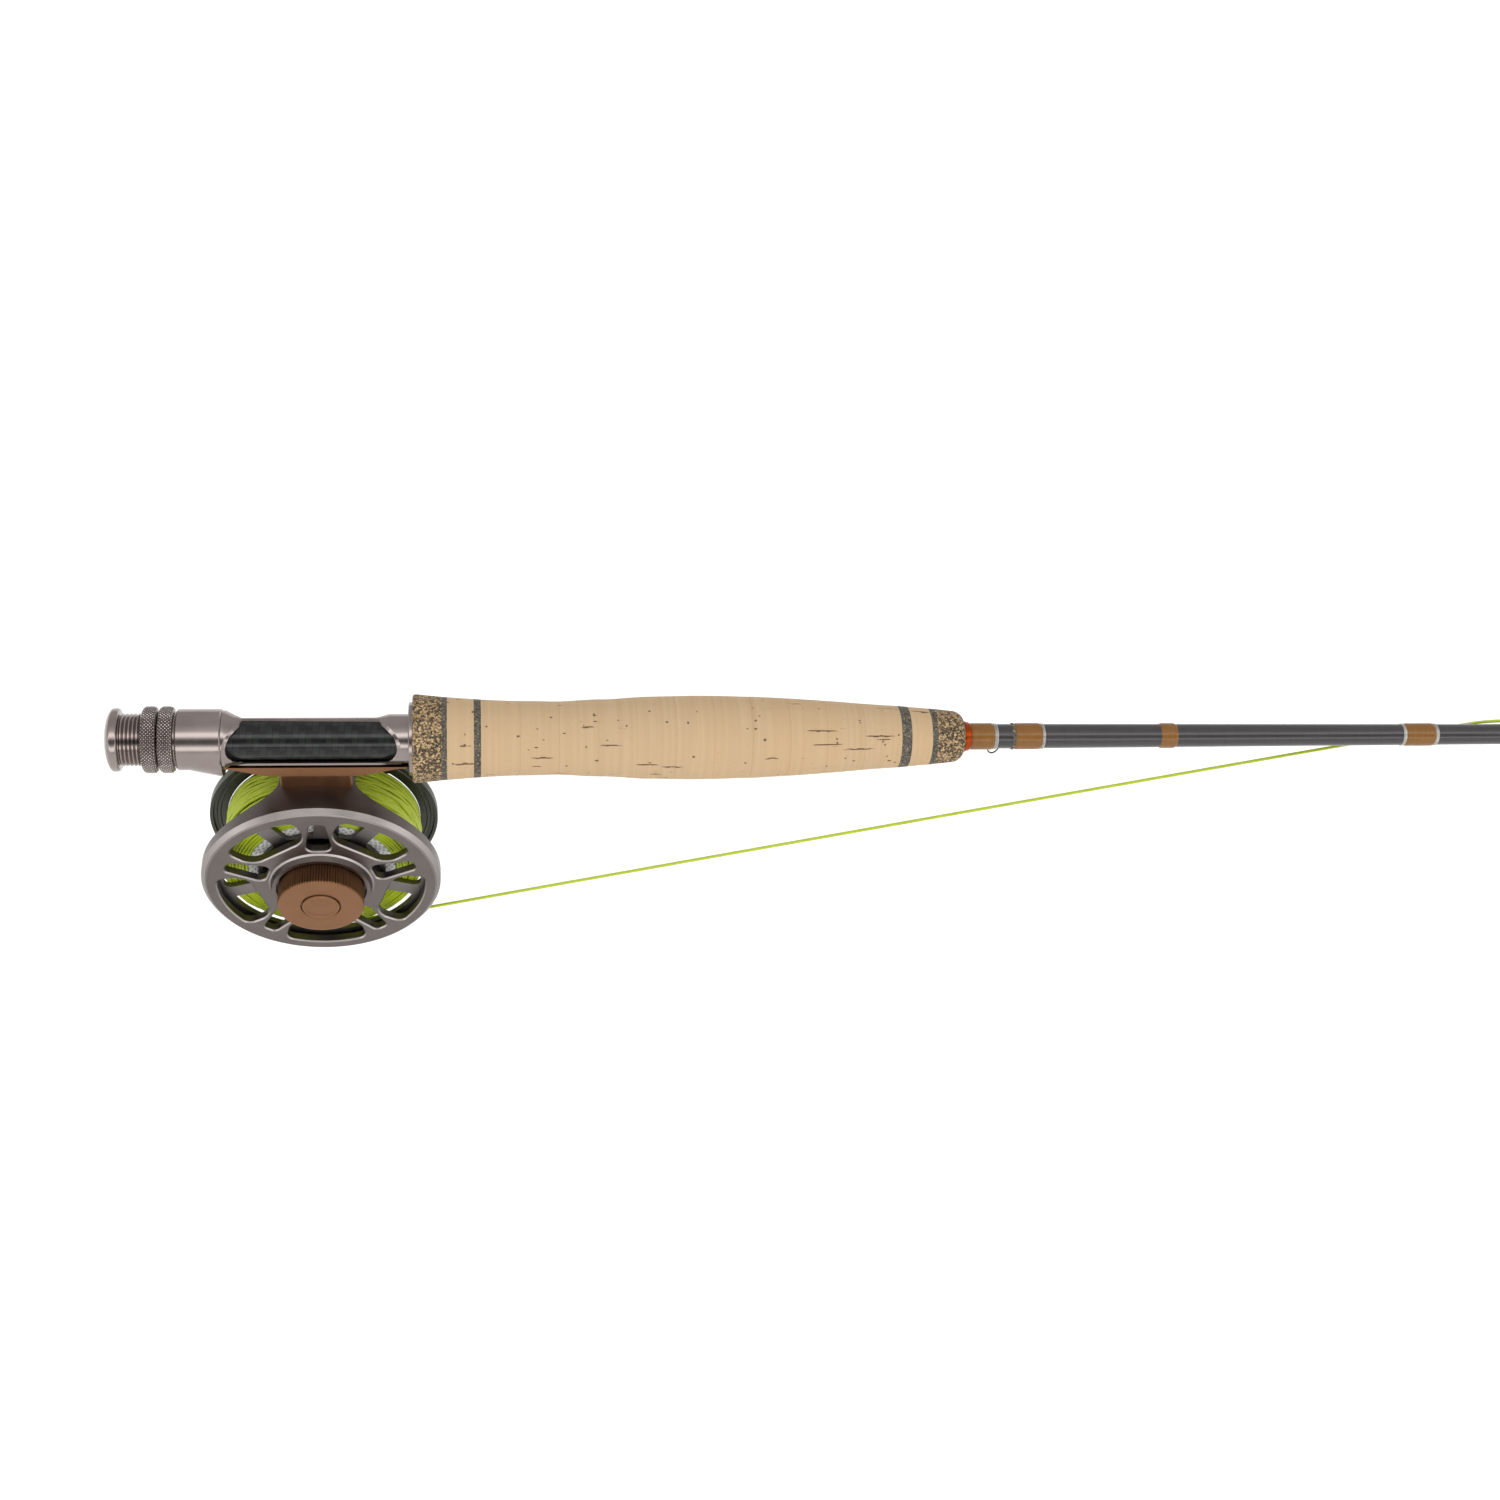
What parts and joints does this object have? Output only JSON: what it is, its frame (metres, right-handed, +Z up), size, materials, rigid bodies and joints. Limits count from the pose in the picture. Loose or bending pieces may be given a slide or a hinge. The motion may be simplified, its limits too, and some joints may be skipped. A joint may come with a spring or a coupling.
{
  "type": "fly fishing rod with reel",
  "caption": "Four-piece fly rod with cork grip, skeleton reel seat and guides, carrying a slotted large-arbor fly reel wound with bright line.",
  "frame": {"origin": "on the rod's axis in the middle of the hand grip", "axes": "+X along the rod towards its tip, +Z up with the reel hanging on -Z, -Y is the side of the slotted frame plate and drag knob, +Y is the handle side"},
  "size_m": [2.5907, 0.0591, 0.1147],
  "materials": {
    "gunmetal": "satin anodised",
    "reel_gunmetal": "satin anodised",
    "brown_anodised": "satin anodised",
    "carbon_twill": "clear-coated carbon weave",
    "arbor_foam": "rigid foam",
    "cork": "sanded natural cork",
    "composite_cork": "speckled rubber and cork",
    "dark_trim": "matt",
    "orange_anodised": "anodised",
    "graphite_blank": "varnished graphite",
    "brown_thread": "thread under epoxy",
    "silver_thread": "metallic thread under epoxy",
    "guide_wire": "polished",
    "ceramic_ring": "polished",
    "steel": "turned",
    "friction_material": "woven friction lining",
    "handle_black": "satin",
    "white_backing": "braided",
    "fly_line_green": "coated line"
  },
  "bodies": {
    "rod_and_frame": {"butt_cap": "gunmetal", "seat_skeleton": "gunmetal", "carbon_insert": "carbon_twill", "seat_arbor": "arbor_foam", "fixed_hood": "gunmetal", "composite_cork_rear": "composite_cork", "cork_grip_rings": "cork", "cork_accent_rings": "cork", "dark_trim_rings": "dark_trim", "composite_cork_front": "composite_cork", "winding_check": "orange_anodised", "butt_blank": "graphite_blank", "butt_wraps": "brown_thread", "silver_trims": "silver_thread", "dark_wrap": "dark_trim", "hook_keeper": "guide_wire", "reel_frame": "reel_gunmetal", "reel_foot": "brown_anodised", "foot_screws": "steel", "spindle": "steel", "spindle_clip": "steel", "drag_housing": "reel_gunmetal", "housing_cover": "reel_gunmetal", "friction_washers": "friction_material", "fly_line": "fly_line_green", "line_hitch": "fly_line_green"},
    "sliding_hood": {"sliding_hood": "gunmetal"},
    "lock_ring": {"lock_ring": "gunmetal"},
    "jam_ring": {"jam_ring": "gunmetal"},
    "rod_section_2": {"rod_section_2": "graphite_blank", "stripping_guides": "guide_wire", "stripping_rings": "ceramic_ring", "snake_guides_2": "guide_wire", "thread_wraps_2": "brown_thread"},
    "rod_section_3": {"rod_section_3": "graphite_blank", "snake_guides_3": "guide_wire", "thread_wraps_3": "brown_thread"},
    "rod_section_4": {"rod_section_4": "graphite_blank", "snake_guides_4": "guide_wire", "thread_wraps_4": "brown_thread", "tip_top": "guide_wire"},
    "drag_knob": {"drag_knob": "brown_anodised", "knob_medallion": "brown_anodised"},
    "pressure_plate": {"pressure_plate": "steel", "drag_spring": "steel"},
    "brake_disc": {"brake_disc": "steel", "one_way_clutch": "steel"},
    "spool": {"spool": "reel_gunmetal", "spool_bearings": "steel", "spool_cap": "brown_anodised", "counterweight": "steel", "handle_post": "steel", "backing": "white_backing", "line_pack": "fly_line_green", "clutch_sleeve": "steel"},
    "handle_knob": {"handle_knob": "handle_black"}
  },
  "joints": [
    {"name": "spool_spin", "type": "hinge", "parent": "rod_and_frame", "child": "spool", "pos_m": [-0.1238, 0, -0.0594], "axis": [0, 1, 0], "continuous": true},
    {"name": "handle_knob_spin", "type": "hinge", "parent": "spool", "child": "handle_knob", "pos_m": [-0.1238, 0.025, -0.0904], "axis": [0, 1, 0], "continuous": true},
    {"name": "drag_knob_turn", "type": "hinge", "parent": "rod_and_frame", "child": "drag_knob", "pos_m": [-0.1238, -0.021, -0.0594], "axis": [0, -1, 0], "range_deg": [0, 540]},
    {"name": "pressure_plate_slide", "type": "slide", "parent": "rod_and_frame", "child": "pressure_plate", "axis": [0, 1, 0], "range_m": [0, 0.0004]},
    {"name": "brake_disc_turn", "type": "hinge", "parent": "rod_and_frame", "child": "brake_disc", "pos_m": [-0.1238, -0.008, -0.0594], "axis": [0, 1, 0], "continuous": true},
    {"name": "hood_slide", "type": "slide", "parent": "rod_and_frame", "child": "sliding_hood", "axis": [-1, 0, 0], "range_m": [0, 0.0068]},
    {"name": "lock_ring_turn", "type": "hinge", "parent": "sliding_hood", "child": "lock_ring", "pos_m": [-0.1703, 0, 0], "axis": [-1, 0, 0], "range_deg": [0, 1927.56]},
    {"name": "jam_ring_turn", "type": "hinge", "parent": "sliding_hood", "child": "jam_ring", "pos_m": [-0.1756, 0, 0], "axis": [-1, 0, 0], "range_deg": [0, 1927.56]},
    {"name": "section_2_pull", "type": "slide", "parent": "rod_and_frame", "child": "rod_section_2", "axis": [1, 0, 0], "range_m": [0, 0.06]},
    {"name": "section_3_pull", "type": "slide", "parent": "rod_section_2", "child": "rod_section_3", "axis": [1, 0, 0], "range_m": [0, 0.06]},
    {"name": "section_4_pull", "type": "slide", "parent": "rod_section_3", "child": "rod_section_4", "axis": [1, 0, 0], "range_m": [0, 0.06]}
  ],
  "couplings": [
    {"joint": "drag_knob_turn", "follows": "pressure_plate_slide", "rad_per_m": 23560},
    {"joint": "brake_disc_turn", "follows": "spool_spin", "ratio": 1},
    {"joint": "lock_ring_turn", "follows": "hood_slide", "rad_per_m": 4946.9},
    {"joint": "jam_ring_turn", "follows": "hood_slide", "rad_per_m": 4946.9}
  ]
}
